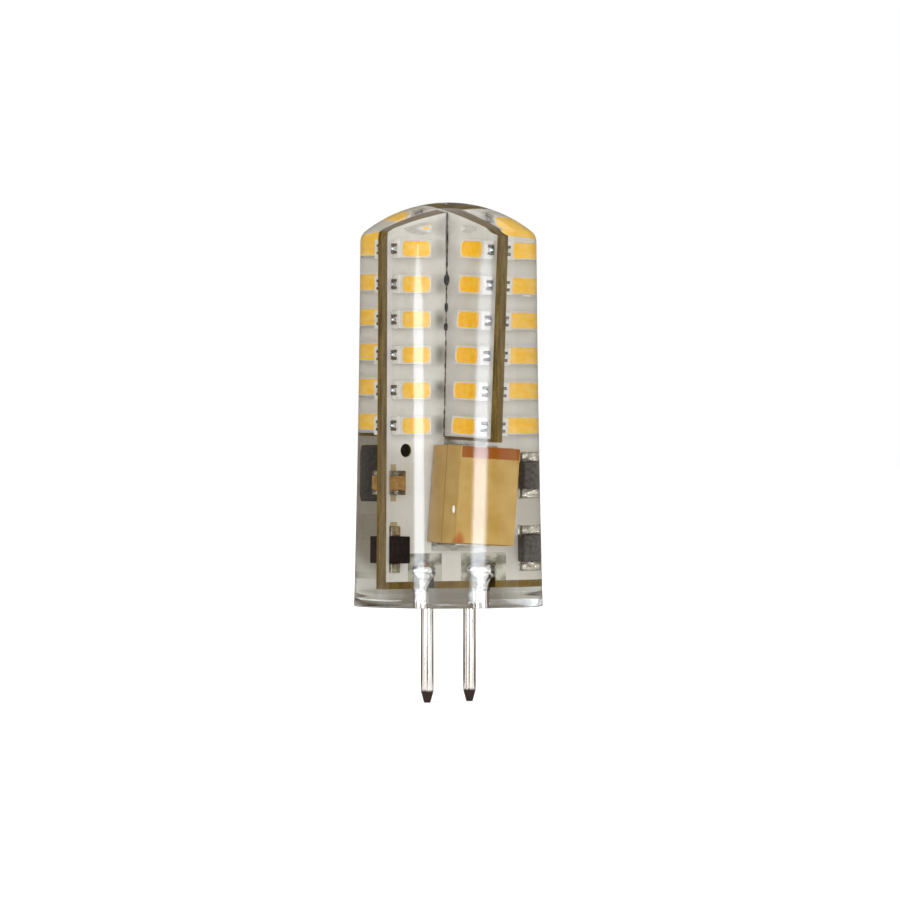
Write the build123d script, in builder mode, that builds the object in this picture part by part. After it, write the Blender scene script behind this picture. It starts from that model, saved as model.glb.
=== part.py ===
"""Bi-pin LED capsule bulb: two crossed circuit boards potted in a clear silicone body on two plug pins."""
import os
from math import acos, cos, degrees, radians, sin, sqrt

from build123d import *

# Driving dimensions, in millimetres. The base's underside is Z = 0 and the pins stand on the X axis.

# Clear silicone body
base_diameter = 14.1
shoulder_diameter = 13.14
body_height = 30.1
crown_radius = 10.0
shoulder_rounding = 1.0
wall_hollow = 0.075

# Circuit boards
board_thickness = 1.0
board_cover = 0.7
board_top_cover = 0.6
board_floor = 1.34
lap_clearance = 0.08
cross_tilt = 2.5
cross_cant = 1.1
cross_lift = 0.1
via_diameter = 1.0
via_drop = 0.75

# Plug pins and the solder that holds them in the main board's edge slots
pin_spacing = 4.0
pin_diameter = 0.95
pin_root_diameter = 0.9
pin_shoulder_length = 0.52
pin_reach = 7.15
pin_tip_length = 0.87
pin_tip_diameter = 0.5
pin_slot_clearance = 0.1
pin_slot_depth = 1.86
pin_end_gap = 0.15
pin_solder_radius = 0.9
pin_solder_height = 1.5

# Light-emitting diodes, six to a column and one column on each half of each board face
led_length = 3.0
led_width = 1.4
led_height = 0.8
led_rows = 6
led_row_margin = 1.1
led_edge_margin = 0.57
window_length = 2.5
window_width = 1.1
window_corner = 0.25
window_depth = 0.3

# Smoothing capacitor, a moulded block that sits a little askew on the main board's front
capacitor_width = 4.5
capacitor_length = 7.3
capacitor_height = 2.8
capacitor_standoff = 0.1
capacitor_draft = 3.0
capacitor_centre_x = 0.4
capacitor_skew = 4.0
capacitor_terminal_width = 2.4
capacitor_terminal_thickness = 0.15
capacitor_terminal_bite = 0.05
capacitor_foot_length = 1.3
capacitor_to_solder = 0.6
capacitor_to_cross_board = 0.2

# Rectifier diodes
diode_width = 1.25
diode_length = 2.0
diode_height = 0.95
diode_lead_length = 0.7
diode_lead_width = 0.95
diode_lead_thickness = 0.15
component_edge_margin = 0.33
right_diode_edge_margin = 0.85
lower_diode_height = 4.25
upper_diode_height = 9.7

# Ceramic chip capacitors, one on each face of the main board
chip_width = 0.95
chip_length = 1.8
chip_thickness = 0.8
chip_end_length = 0.38
chip_height = 9.2

# Driver parts on the main board's back
inductor_size = 4.2
inductor_thickness = 2.9
inductor_corner = 0.5
inductor_standoff = 0.12
inductor_terminal_width = 2.0
inductor_terminal_length = 0.25
inductor_terminal_height = 1.1
inductor_centre_x = -2.3
inductor_to_cross_board = 0.35
driver_body_width = 1.6
driver_body_length = 2.9
driver_body_height = 1.1
driver_standoff = 0.1
driver_leads_per_side = 3
driver_lead_spacing = 0.95
driver_lead_width = 0.4
driver_lead_thickness = 0.15
driver_lead_reach = 0.6
driver_centre_x = 2.9
driver_centre_height = 9.4
resistor_width = 1.25
resistor_length = 2.0
resistor_thickness = 0.5
resistor_end_length = 0.4
resistor_gap = 0.4
resistor_centre_x = 3.1
resistor_centre_height = 5.4

# Solder beads where the two boards are joined, at each inner corner
bead_leg = 0.2
bead_length = 0.7
bead_drops = (3.4, 5.4)

# Sizes that follow from the ones above
base_radius = base_diameter / 2
shoulder_radius = shoulder_diameter / 2
half_board = board_thickness / 2
board_corner_radius = shoulder_radius - board_cover
half_width = sqrt(board_corner_radius**2 - half_board**2)
crown_centre = body_height - crown_radius
board_top = crown_centre + sqrt(crown_radius**2 - board_corner_radius**2) - board_top_cover

skew_sine = sin(radians(capacitor_skew))
skew_cosine = cos(radians(capacitor_skew))
capacitor_half_reach = capacitor_length / 2 + capacitor_terminal_thickness - capacitor_terminal_bite
capacitor_half_span = capacitor_half_reach * skew_cosine + capacitor_width / 2 * skew_sine
pin_solder_centre = board_floor + pin_solder_height
capacitor_bottom = pin_solder_centre + pin_solder_radius + capacitor_to_solder
capacitor_centre_height = capacitor_bottom + capacitor_half_span
cross_floor = capacitor_centre_height + capacitor_half_span + capacitor_to_cross_board

lap_height = (cross_floor + board_top) / 2
lap_width = board_thickness + 2 * lap_clearance
cross_slot_middle = (cross_floor + lap_height) / 2
main_slot_middle = (lap_height + board_top) / 2
first_row = cross_floor + led_row_margin
led_pitch = (board_top - led_row_margin - first_row) / (led_rows - 1)
row_heights = [first_row + row * led_pitch for row in range(led_rows)]
led_offset = half_width - led_edge_margin - led_length / 2

# Board faces, each seen from outside with its own X to the right and its Y up. The cross board rides a
# little high, leans to the front in its own slot, and stands a little canted in the main board's.
main_front = Plane(origin=(0, -half_board, 0), x_dir=(1, 0, 0), z_dir=(0, -1, 0))
main_back = Plane(origin=(0, half_board, 0), x_dir=(-1, 0, 0), z_dir=(0, 1, 0))
leaning = Location((0, 0, cross_slot_middle + cross_lift), (cross_tilt, 0, 0))
canting = Location((0, 0, main_slot_middle), (0, cross_cant, 0)) * Location((0, 0, -main_slot_middle))
lean = canting * leaning * Location((0, 0, -cross_slot_middle))
cross_left = Plane(lean * Plane(origin=(-half_board, 0, 0), x_dir=(0, -1, 0), z_dir=(-1, 0, 0)).location)
cross_right = Plane(lean * Plane(origin=(half_board, 0, 0), x_dir=(0, 1, 0), z_dir=(1, 0, 0)).location)

os.makedirs("parts", exist_ok=True)
embedded = []


def keep(piece, name, inside=True):
    """Name a finished piece, write it, and note it if the silicone flows round it."""
    piece.label = name
    export_step(piece, f"parts/{name}.step")
    if inside:
        embedded.append(piece)


def spot(face, x, y, turn=0):
    """A plane on a board face, centred at that face's own x and y."""
    return Plane(face * Location((x, y, 0), (0, 0, turn)))


# Main board: holds the driver at its foot, and takes the cross board in a slot from its top
with BuildPart() as main_board:
    with BuildSketch(main_front):
        with Locations((0, (board_floor + board_top) / 2)):
            Rectangle(2 * half_width, board_top - board_floor)
        with Locations((0, (lap_height + board_top) / 2)):
            Rectangle(lap_width, board_top - lap_height, mode=Mode.SUBTRACT)
        with Locations(*[(side * pin_spacing / 2, board_floor + pin_slot_depth / 2) for side in (-1, 1)]):
            Rectangle(pin_diameter + 2 * pin_slot_clearance, pin_slot_depth, mode=Mode.SUBTRACT)
        with Locations((-led_offset, cross_floor - via_drop)):
            Circle(via_diameter / 2, mode=Mode.SUBTRACT)
    extrude(amount=-board_thickness)
keep(main_board.part, "main_board")

# Cross board: carries light-emitting diodes only, and drops over the main board by a slot from its foot.
# The slot is cut upright, to fit the main board, so the board leans in it.
with BuildPart() as cross_board:
    with BuildSketch(cross_left):
        with Locations((0, (cross_floor + board_top) / 2)):
            Rectangle(2 * half_width, board_top - cross_floor)
    extrude(amount=-board_thickness)
    with BuildSketch(Plane.XY.offset(lap_height)):
        Rectangle(2 * lap_width, lap_width)
    extrude(amount=board_floor - lap_height, mode=Mode.SUBTRACT)
keep(cross_board.part, "cross_board")

# Solder beads in the four inner corners, where the boards' pads meet
with BuildPart() as board_solder:
    for drop in bead_drops:
        with BuildSketch(Plane.XY.offset(board_top - drop - bead_length / 2)):
            for side_x in (-1, 1):
                for side_y in (-1, 1):
                    corner = Vector(side_x * half_board, side_y * half_board)
                    along_main = corner + Vector(side_x * (lap_clearance + bead_leg), 0)
                    along_cross = corner + Vector(0, side_y * (lap_clearance + bead_leg))
                    Polygon(corner, along_main, along_cross, align=None)
        extrude(amount=bead_length)
    add(cross_board.part, mode=Mode.SUBTRACT)
keep(board_solder.part, "board_solder")

# Plug pins: plated, with a blunt cone at the tip, and a slight shoulder down to the root in the silicone
for name, side in (("pin_left", -1), ("pin_right", 1)):
    pin_axis = Plane(origin=(side * pin_spacing / 2, 0, 0), x_dir=(1, 0, 0), z_dir=(0, -1, 0))
    pin_end = board_floor + pin_slot_depth - pin_end_gap
    with BuildPart() as pin:
        with BuildSketch(pin_axis):
            with BuildLine():
                Polyline(
                    (0, -pin_reach),
                    (pin_tip_diameter / 2, -pin_reach),
                    (pin_diameter / 2, pin_tip_length - pin_reach),
                    (pin_diameter / 2, 0),
                    (pin_root_diameter / 2, pin_shoulder_length),
                    (pin_root_diameter / 2, pin_end),
                    (0, pin_end),
                    close=True,
                )
            make_face()
        revolve(axis=Axis(pin_axis.origin, (0, 0, 1)))
    keep(pin.part, name)

    # The ball of solder over the pin's end, which fills the slot there and stands proud of both faces
    with BuildPart() as pin_solder:
        with Locations((side * pin_spacing / 2, 0, pin_solder_centre)):
            Sphere(pin_solder_radius)
        add(main_board.part, mode=Mode.SUBTRACT)
        add(pin.part, mode=Mode.SUBTRACT)
    keep(pin_solder.part, name.replace("pin", "pin_solder"))

# Light-emitting diodes: a white moulded housing with a phosphor fill in its window
led_faces = {
    "main_front": main_front,
    "main_back": main_back,
    "cross_left": cross_left,
    "cross_right": cross_right,
}
for face_name, face in led_faces.items():
    for side_name, side in (("left", -1), ("right", 1)):
        column = f"{face_name}_{side_name}"
        led_spots = [(side * led_offset, height) for height in row_heights]

        with BuildPart() as phosphor:
            with BuildSketch(face.offset(led_height)) as window:
                with Locations(*led_spots):
                    Rectangle(window_length, window_width)
                chamfer(window.vertices(), window_corner)
            extrude(amount=-window_depth)
        keep(phosphor.part, f"led_phosphor_{column}", inside=False)

        with BuildPart() as housings:
            with BuildSketch(face):
                with Locations(*led_spots):
                    Rectangle(led_length, led_width)
            extrude(amount=led_height)
            add(phosphor.part, mode=Mode.SUBTRACT)
        keep(housings.part, f"led_housings_{column}", inside=False)

# Smoothing capacitor: two folded strip terminals in a block drafted both ways from its mould line
capacitor_seat = spot(main_front, capacitor_centre_x, capacitor_centre_height, -capacitor_skew)
capacitor_side = Plane(capacitor_seat.origin, x_dir=capacitor_seat.y_dir, z_dir=capacitor_seat.x_dir)
mould_line = (capacitor_height + capacitor_standoff) / 2
leg_top = mould_line + capacitor_terminal_thickness / 2
leg_inside = capacitor_half_reach - capacitor_terminal_thickness
foot_inside = capacitor_half_reach - capacitor_foot_length
capacitor_terminals = []
for name, end in (("capacitor_terminal_top", 1), ("capacitor_terminal_bottom", -1)):
    with BuildPart() as terminal:
        with BuildSketch(capacitor_side):
            with BuildLine():
                Polyline(
                    (end * capacitor_half_reach, 0),
                    (end * capacitor_half_reach, leg_top),
                    (end * leg_inside, leg_top),
                    (end * leg_inside, capacitor_standoff),
                    (end * foot_inside, capacitor_standoff),
                    (end * foot_inside, 0),
                    close=True,
                )
            make_face()
        extrude(amount=capacitor_terminal_width / 2, both=True)
    keep(terminal.part, name)
    capacitor_terminals.append(terminal.part)

with BuildPart() as capacitor_body:
    with BuildSketch(capacitor_seat.offset(mould_line)):
        Rectangle(capacitor_width, capacitor_length)
    extrude(amount=capacitor_height - mould_line, taper=capacitor_draft)
    with BuildSketch(capacitor_seat.offset(mould_line)):
        Rectangle(capacitor_width, capacitor_length)
    extrude(amount=capacitor_standoff - mould_line, taper=capacitor_draft)
    add(capacitor_terminals, mode=Mode.SUBTRACT)
keep(capacitor_body.part, "capacitor_body")

# Rectifier bridge: four moulded diodes with flat leads, three in front and one behind
left_diode_x = half_width - component_edge_margin - diode_width / 2
right_diode_x = half_width - right_diode_edge_margin - diode_width / 2
diode_spots = {
    "diode_front_left": (main_front, -left_diode_x, lower_diode_height),
    "diode_front_right_lower": (main_front, right_diode_x, lower_diode_height),
    "diode_front_right_upper": (main_front, right_diode_x, upper_diode_height),
    "diode_back": (main_back, left_diode_x, lower_diode_height),
}
for name, (face, x, height) in diode_spots.items():
    diode_seat = spot(face, x, height)
    with BuildPart() as diode_body:
        with BuildSketch(diode_seat):
            Rectangle(diode_width, diode_length)
        extrude(amount=diode_height)
    keep(diode_body.part, f"{name}_body")
    with BuildPart() as diode_leads:
        with BuildSketch(diode_seat):
            with GridLocations(0, diode_length + diode_lead_length, 1, 2):
                Rectangle(diode_lead_width, diode_lead_length)
        extrude(amount=diode_lead_thickness)
    keep(diode_leads.part, f"{name}_leads")

# Ceramic chip capacitors, near the main board's left edge on both faces
chip_x = half_width - component_edge_margin - chip_width / 2
for name, face, x in (("chip_front", main_front, -chip_x), ("chip_back", main_back, chip_x)):
    chip_seat = spot(face, x, chip_height)
    with BuildPart() as chip_ends:
        with BuildSketch(chip_seat):
            with GridLocations(0, chip_length - chip_end_length, 1, 2):
                Rectangle(chip_width, chip_end_length)
        extrude(amount=chip_thickness)
    keep(chip_ends.part, f"{name}_ends")
    with BuildPart() as chip_body:
        with BuildSketch(chip_seat):
            Rectangle(chip_width, chip_length - 2 * chip_end_length)
        extrude(amount=chip_thickness)
    keep(chip_body.part, f"{name}_body")

# Moulded power inductor behind the board, on two terminals wrapped round its ends
inductor_centre_height = cross_floor - inductor_to_cross_board - inductor_size / 2
inductor_seat = spot(main_back, -inductor_centre_x, inductor_centre_height)
with BuildPart() as inductor_terminals:
    with BuildSketch(inductor_seat):
        with GridLocations(0, inductor_size - inductor_terminal_length, 1, 2):
            Rectangle(inductor_terminal_width, inductor_terminal_length)
    extrude(amount=inductor_terminal_height)
keep(inductor_terminals.part, "inductor_terminals")
with BuildPart() as inductor_body:
    with BuildSketch(inductor_seat.offset(inductor_standoff)) as outline:
        Rectangle(inductor_size, inductor_size)
        chamfer(outline.vertices(), inductor_corner)
    extrude(amount=inductor_thickness - inductor_standoff)
    add(inductor_terminals.part, mode=Mode.SUBTRACT)
keep(inductor_body.part, "inductor_body")

# Driver chip behind the board, with three bent leads on each side
driver_seat = spot(main_back, -driver_centre_x, driver_centre_height)
driver_middle = driver_standoff + driver_body_height / 2
with BuildPart() as driver_body:
    with BuildSketch(driver_seat.offset(driver_standoff)):
        Rectangle(driver_body_width, driver_body_length)
    extrude(amount=driver_body_height)
keep(driver_body.part, "driver_body")
with BuildPart() as driver_leads:
    for side in (-1, 1):
        shoulder_x = side * (driver_body_width + driver_lead_thickness) / 2
        foot_x = side * (driver_body_width + driver_lead_reach) / 2
        with BuildSketch(driver_seat):
            with Locations((shoulder_x, 0)):
                with GridLocations(0, driver_lead_spacing, 1, driver_leads_per_side):
                    Rectangle(driver_lead_thickness, driver_lead_width)
        extrude(amount=driver_middle)
        with BuildSketch(driver_seat):
            with Locations((foot_x, 0)):
                with GridLocations(0, driver_lead_spacing, 1, driver_leads_per_side):
                    Rectangle(driver_lead_reach, driver_lead_width)
        extrude(amount=driver_lead_thickness)
keep(driver_leads.part, "driver_leads")

# Two current-sensing chip resistors side by side behind the board
resistor_seat = spot(main_back, -resistor_centre_x, resistor_centre_height)
resistor_spacing = resistor_width + resistor_gap
with BuildPart() as resistor_bodies:
    with BuildSketch(resistor_seat):
        with GridLocations(resistor_spacing, 0, 2, 1):
            Rectangle(resistor_width, resistor_length - 2 * resistor_end_length)
    extrude(amount=resistor_thickness)
keep(resistor_bodies.part, "resistor_bodies")
with BuildPart() as resistor_ends:
    with BuildSketch(resistor_seat):
        with GridLocations(resistor_spacing, resistor_length - resistor_end_length, 2, 2):
            Rectangle(resistor_width, resistor_end_length)
    extrude(amount=resistor_thickness)
keep(resistor_ends.part, "resistor_ends")

# Silicone body: drafted, slightly hollow wall and a domed crown, cast round everything above
shoulder_corner = crown_centre + sqrt(crown_radius**2 - shoulder_radius**2)
shoulder_angle = degrees(acos(shoulder_radius / crown_radius))
with BuildPart() as silicone_body:
    with BuildSketch(Plane.XZ) as half_section:
        with BuildLine():
            Polyline((0, body_height), (0, 0), (base_radius, 0))
            SagittaArc((base_radius, 0), (shoulder_radius, shoulder_corner), wall_hollow)
            CenterArc((0, crown_centre), crown_radius, shoulder_angle, 90 - shoulder_angle)
        make_face()
        shoulder = half_section.vertices().sort_by_distance((shoulder_radius, shoulder_corner))[0]
        fillet(shoulder, shoulder_rounding)
    revolve(axis=Axis.Z)
    for piece in embedded:
        add(piece, mode=Mode.SUBTRACT)
    for face in led_faces.values():
        with BuildSketch(face):
            with Locations(*[(side * led_offset, height) for side in (-1, 1) for height in row_heights]):
                Rectangle(led_length, led_width)
        extrude(amount=led_height, mode=Mode.SUBTRACT)
keep(silicone_body.part, "silicone_body", inside=False)
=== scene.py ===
from math import cos, pi, radians, sin, sqrt, tan

import bmesh
import bpy
from mathutils import Matrix, Vector


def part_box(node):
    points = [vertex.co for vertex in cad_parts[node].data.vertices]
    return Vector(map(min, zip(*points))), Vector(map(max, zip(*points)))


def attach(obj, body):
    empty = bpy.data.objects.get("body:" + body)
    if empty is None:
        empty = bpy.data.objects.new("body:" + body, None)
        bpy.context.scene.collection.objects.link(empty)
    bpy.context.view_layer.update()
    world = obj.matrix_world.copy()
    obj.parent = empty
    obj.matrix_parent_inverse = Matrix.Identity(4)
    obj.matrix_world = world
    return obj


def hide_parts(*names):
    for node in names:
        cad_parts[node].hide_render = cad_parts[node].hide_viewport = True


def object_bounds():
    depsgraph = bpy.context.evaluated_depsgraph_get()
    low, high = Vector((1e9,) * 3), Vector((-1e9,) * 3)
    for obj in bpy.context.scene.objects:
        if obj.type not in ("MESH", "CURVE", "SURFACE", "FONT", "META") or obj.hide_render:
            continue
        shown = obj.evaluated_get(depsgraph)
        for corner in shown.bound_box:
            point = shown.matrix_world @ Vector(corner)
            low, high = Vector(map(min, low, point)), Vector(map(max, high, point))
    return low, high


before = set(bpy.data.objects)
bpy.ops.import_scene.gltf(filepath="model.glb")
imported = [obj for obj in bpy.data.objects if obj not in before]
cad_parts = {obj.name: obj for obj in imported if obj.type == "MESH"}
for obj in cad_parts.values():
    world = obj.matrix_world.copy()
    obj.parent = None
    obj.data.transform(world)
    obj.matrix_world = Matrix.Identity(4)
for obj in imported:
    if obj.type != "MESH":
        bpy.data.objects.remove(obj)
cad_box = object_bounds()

# Circuit boards: two laminate boards, slotted and pushed across each other. Both are white with solder
# mask on their faces, and show the brown glass laminate along their routed edges and in a bare margin at
# their feet. Tinned copper pads lie bare where the pins and the driver's parts are soldered.
MM = 0.001
# Index of refraction of a plain surface, relative to the silicone round it
POTTED_IOR = 1.07
SHARP_ANGLE = radians(35)
LED_WIDTH = 1.4
LED_ROWS = 6
# Painted shade lies beside each LED row, at this distance from the board's middle, and fades upwards
PAINTED_SHADE_X = 0.95
PAINTED_SHADE_HALF_WIDTH = 0.6
PAINTED_SHADE_HALF_HEIGHT = 1.0
PAINTED_SHADE_STRENGTH = 1.5
PAINTED_SHADE_FADE = (19, 27)
# The main board's mask is darker below this height
DARKER_FOOT_TOP = 12.5
DARKER_FOOT_EDGE = 1.5
DARKER_FOOT_SHARE = 0.6
MAIN_MARGIN = 0.53
CROSS_MARGIN = 0.26
CROSS_TILT = radians(2.5)
# Each pad: its middle across and up, its length and its height
PIN_PADS = ((-2.21, 2.9, 2.7, 2.1), (1.81, 2.9, 2.7, 2.1))
LEFT_PADS = ((-4.9, 2.95, 1.2, 0.7), (-4.9, 5.6, 1.2, 0.8))
CHIP_PADS = ((-5.05, 8.1, 0.62, 0.55), (-5.05, 10.3, 0.62, 0.55), (-5.0, 5.85, 0.8, 0.9))
RIGHT_PADS = ((4.4, 2.9, 1.3, 0.8), (4.4, 5.6, 1.3, 0.8), (4.4, 8.35, 1.3, 0.8), (4.4, 11.05, 1.3, 0.8))
CAPACITOR_PADS = ((-0.15, 4.45, 2.94, 0.65), (0.65, 12.0, 2.7, 0.9))
HOLE_X = -3.779
HOLE_Z = 11.586
HOLE_RADIUS = 0.49
HOLE_HALF_DEPTH = 0.38
HOLE_STEPS = 32


def paint(red, green, blue):
    """A colour given as the eye reads it, from 0 to 255, in the linear terms of a shader."""
    share = [channel / 255 for channel in (red, green, blue)]
    return tuple(c / 12.92 if c <= 0.04045 else ((c + 0.055) / 1.055) ** 2.4 for c in share) + (1.0,)


class Value:
    """An output of a node tree. Arithmetic on it adds Math nodes."""

    def __init__(self, nodes, socket):
        self.nodes = nodes
        self.socket = socket

    def math(self, operation, *inputs):
        return self.nodes.node("ShaderNodeMath", {"operation": operation}, dict(enumerate(inputs)))

    def __add__(self, other):
        return self.math("ADD", self, other)

    def __sub__(self, other):
        return self.math("SUBTRACT", self, other)

    def __rsub__(self, other):
        return self.math("SUBTRACT", other, self)

    def __mul__(self, other):
        return self.math("MULTIPLY", self, other)

    def __truediv__(self, other):
        return self.math("DIVIDE", self, other)

    def __gt__(self, other):
        return self.math("GREATER_THAN", self, other)

    def __lt__(self, other):
        return self.math("LESS_THAN", self, other)

    def __or__(self, other):
        return self.math("MAXIMUM", self, other)

    def __abs__(self):
        return self.math("ABSOLUTE", self)

    __radd__ = __add__
    __rmul__ = __mul__


class Nodes:
    """A node tree, with one method that adds any node."""

    def __init__(self, tree):
        self.tree = tree

    def feed(self, socket, value):
        if isinstance(value, Value):
            self.tree.links.new(value.socket, socket)
        else:
            socket.default_value = value

    def node(self, kind, settings=None, inputs=None, output=0):
        made = self.tree.nodes.new(kind)
        for name, setting in (settings or {}).items():
            setattr(made, name, setting)
        for name, value in (inputs or {}).items():
            self.feed(made.inputs[name], value)
        return Value(self, made.outputs[output])

    def split(self, vector):
        return [self.node("ShaderNodeSeparateXYZ", None, {0: vector}, axis) for axis in range(3)]

    def mix(self, share, first, second):
        """From the first colour to the second, as the share goes from 0 to 1."""
        return self.node("ShaderNodeMix", {"data_type": "RGBA"}, {0: share, 6: first, 7: second}, 2)


class Finish(Nodes):
    """A procedural material: the shader's constants are set first, then what varies is fed to it."""

    def __init__(self, name, constants):
        self.material = bpy.data.materials.new(name)
        self.material.use_nodes = True
        super().__init__(self.material.node_tree)
        self.shader = self.tree.nodes["Principled BSDF"]
        self.vary(constants)

    def vary(self, sockets):
        for name, value in sockets.items():
            self.feed(self.shader.inputs[name], value)

    def place(self):
        """Where a point lies in the bulb, in millimetres."""
        found = self.node("ShaderNodeTexCoord", None, None, "Object")
        scaled = self.node("ShaderNodeVectorMath", {"operation": "SCALE"}, {0: found, "Scale": 1 / MM})
        return self.split(scaled)

    def facing(self):
        return self.split(self.node("ShaderNodeNewGeometry", None, None, "Normal"))

    def noise(self, place, per_mm, detail=2.0):
        """Cloudy noise from 0 to 1, with so many blotches to the millimetre along each axis."""
        scaled = [axis * share for axis, share in zip(place, per_mm)]
        vector = self.node("ShaderNodeCombineXYZ", None, dict(enumerate(scaled)))
        return self.node("ShaderNodeTexNoise", None, {"Vector": vector, "Scale": 1.0, "Detail": detail})

    def ease(self, value, low, high):
        """Smoothly from 0 to 1 as the value goes from low to high."""
        inputs = {0: value, 1: low, 2: high, 3: 0.0, 4: 1.0}
        return self.node("ShaderNodeMapRange", {"interpolation_type": "SMOOTHSTEP"}, inputs)

    def mottled(self, cloud, dark, pale, low=0.3, high=0.7):
        """From a dark tone to a pale one, as a cloud of noise goes from low to high."""
        return self.mix(self.ease(cloud, low, high), dark, pale)

    def bump(self, height, depth_mm):
        relief = {"Strength": 1.0, "Distance": depth_mm * MM, "Height": height}
        self.vary({"Normal": self.node("ShaderNodeBump", None, relief)})


def dress(node, finish):
    """Give a solid of the frame its finish."""
    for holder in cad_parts[node].material_slots:
        holder.material = finish.material


def within(place, pads):
    """1 inside any of the pads on an upright board face, and 0 outside them."""
    inside = 0.0
    for x, z, length, height in pads:
        inside = (abs(place[0] - x) < length / 2) * (abs(place[2] - z) < height / 2) | inside
    return inside


def soldered_mask_with_painted_shade(finish, place, on_face, mottle, mask):
    """The main board's mask, with painted shade beside the LED rows by the corner, darker towards its foot.
    """
    column_low, column_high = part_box("led_housings_main_front_left")
    column_foot = column_low.z / MM
    column_top = column_high.z / MM
    row_pitch = (column_top - column_foot - LED_WIDTH) / (LED_ROWS - 1)
    rows_up = (place[2] - column_foot - LED_WIDTH / 2) / row_pitch + 0.5
    from_row = abs(rows_up.math("FRACT", rows_up) - 0.5) * row_pitch
    # Painted shade: the mask darkens beside each LED row, next to the corner with the cross board, less
    # towards the top
    painted_shade = 1 - finish.ease(abs(abs(place[0]) - PAINTED_SHADE_X), 0.0, PAINTED_SHADE_HALF_WIDTH)
    painted_shade = painted_shade * (1 - finish.ease(from_row, 0.0, PAINTED_SHADE_HALF_HEIGHT))
    painted_shade = painted_shade * (place[2] > column_foot) * (place[2] < column_top)
    painted_shade = painted_shade * mottle * (PAINTED_SHADE_STRENGTH - finish.ease(place[2], *PAINTED_SHADE_FADE))
    shade_painted_mask = finish.mix(painted_shade, mask, paint(112, 114, 98))
    # The mask is darker towards the board's foot
    darker_foot = 1 - finish.ease(place[2], DARKER_FOOT_TOP - DARKER_FOOT_EDGE, DARKER_FOOT_TOP)
    footed_mask = finish.mix(darker_foot * DARKER_FOOT_SHARE, shade_painted_mask, paint(192, 186, 172))
    bare_pads = finish.mix(mottle, paint(150, 128, 90), paint(196, 178, 138))
    return finish.mix(within(place, CHIP_PADS) * on_face, footed_mask, bare_pads)


def board_finish(name, node, through, tilt, margin):
    """White mask on the two faces across the given axis, and layered laminate wherever it is bare."""
    finish = Finish(name, {"IOR": POTTED_IOR})
    place = finish.place()
    facing = finish.facing()
    layer_scale = [0.35, 0.35, 0.35]
    layer_scale[through] = 4.5
    layers = finish.noise(place, layer_scale, 3.0)
    fibres = finish.noise(place, (9.0, 9.0, 3.0), 2.0)
    weave = layers * 0.7 + fibres * 0.3
    laminate = finish.mottled(weave, paint(86, 67, 32), paint(128, 105, 54), 0.34, 0.66)
    mottle = finish.noise(place, (0.9, 0.9, 0.9), 4.0)
    mask = finish.mottled(mottle, paint(217, 212, 201), paint(226, 222, 212))
    lumps = finish.noise(place, (1.4,) * 3, 3.0)
    tin = finish.mottled(lumps, paint(112, 106, 88), paint(176, 172, 156), 0.35, 0.65)

    corners = [corner.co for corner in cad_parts[node].data.vertices]
    foot = min(corner.z * cos(tilt) - corner.y * sin(tilt) for corner in corners) / MM
    above_margin = place[2] * cos(tilt) - place[1] * sin(tilt) > foot + margin
    on_face = abs(facing[through]) > 0.5
    tinned = 0.0
    if node == "main_board":
        mask = soldered_mask_with_painted_shade(finish, place, on_face, mottle, mask)
        on_front = facing[through] < -0.5
        both_sides = within(place, PIN_PADS + LEFT_PADS) * on_face
        front_side = within(place, RIGHT_PADS + CAPACITOR_PADS) * on_front
        tinned = (both_sides | front_side) * above_margin
    masked = on_face * above_margin * (1 - tinned)
    finish.vary({
        "Base Color": finish.mix(tinned, finish.mix(masked, laminate, mask), tin),
        "Metallic": tinned * 0.75,
        "Roughness": 0.75 - masked * 0.25 - tinned * 0.4,
    })
    finish.bump(masked * 0.6 + fibres * 0.4 * (1 - tinned) + lumps * 3 * tinned, 0.02)
    return finish


def circle(steps):
    """Points round a circle of radius 1."""
    return [(cos(2 * pi * i / steps), sin(2 * pi * i / steps)) for i in range(steps)]


def skin(mesh, loops, seat=Matrix.Identity(4)):
    """A closed skin through loops of as many points each, in millimetres, capped at both ends."""
    rings = [[mesh.verts.new(seat @ (Vector(point) * MM)) for point in loop] for loop in loops]
    count = len(rings[0])
    for lower, upper in zip(rings, rings[1:]):
        for i in range(count):
            mesh.faces.new((lower[i], lower[(i + 1) % count], upper[(i + 1) % count], upper[i]))
    mesh.faces.new(reversed(rings[0]))
    mesh.faces.new(rings[-1])


def piece(name, mesh, finish, slot, *stands_for):
    """A finished piece, in its place in the frame, that stands for nodes of the frame."""
    bmesh.ops.recalc_face_normals(mesh, faces=mesh.faces)
    data = bpy.data.meshes.new(name)
    mesh.to_mesh(data)
    mesh.free()
    data.shade_smooth()
    data.set_sharp_from_angle(angle=SHARP_ANGLE)
    data.materials.append(finish.material)
    made = bpy.data.objects.new(name, data)
    bpy.context.scene.collection.objects.link(made)
    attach(made, "root")
    if stands_for:
        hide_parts(*stands_for)
    return made


main_finish = board_finish("main board mask and laminate", "main_board", 1, 0, MAIN_MARGIN)
cross_finish = board_finish("cross board mask and laminate", "cross_board", 0, CROSS_TILT, CROSS_MARGIN)
dress("main_board", main_finish)
dress("cross_board", cross_finish)

# Painted shade: a near-black plug fills the via hole and stands for the shade in its depth
hole_shade_finish = Finish("painted hole shade", {"IOR": POTTED_IOR, "Roughness": 0.6})
hole_shade_cloud = hole_shade_finish.noise(hole_shade_finish.place(), (3.0,) * 3, 3.0)
hole_shade_finish.vary({"Base Color": hole_shade_finish.mix(hole_shade_cloud, paint(18, 13, 10), paint(44, 35, 28))})
hole = bmesh.new()
hole_ring = [(HOLE_X + HOLE_RADIUS * c, HOLE_Z + HOLE_RADIUS * s) for c, s in circle(HOLE_STEPS)]
skin(hole, [[(x, depth, z) for x, z in hole_ring] for depth in (-HOLE_HALF_DEPTH, HOLE_HALF_DEPTH)])
piece("via_hole_shade", hole, hole_shade_finish, "solder")
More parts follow.
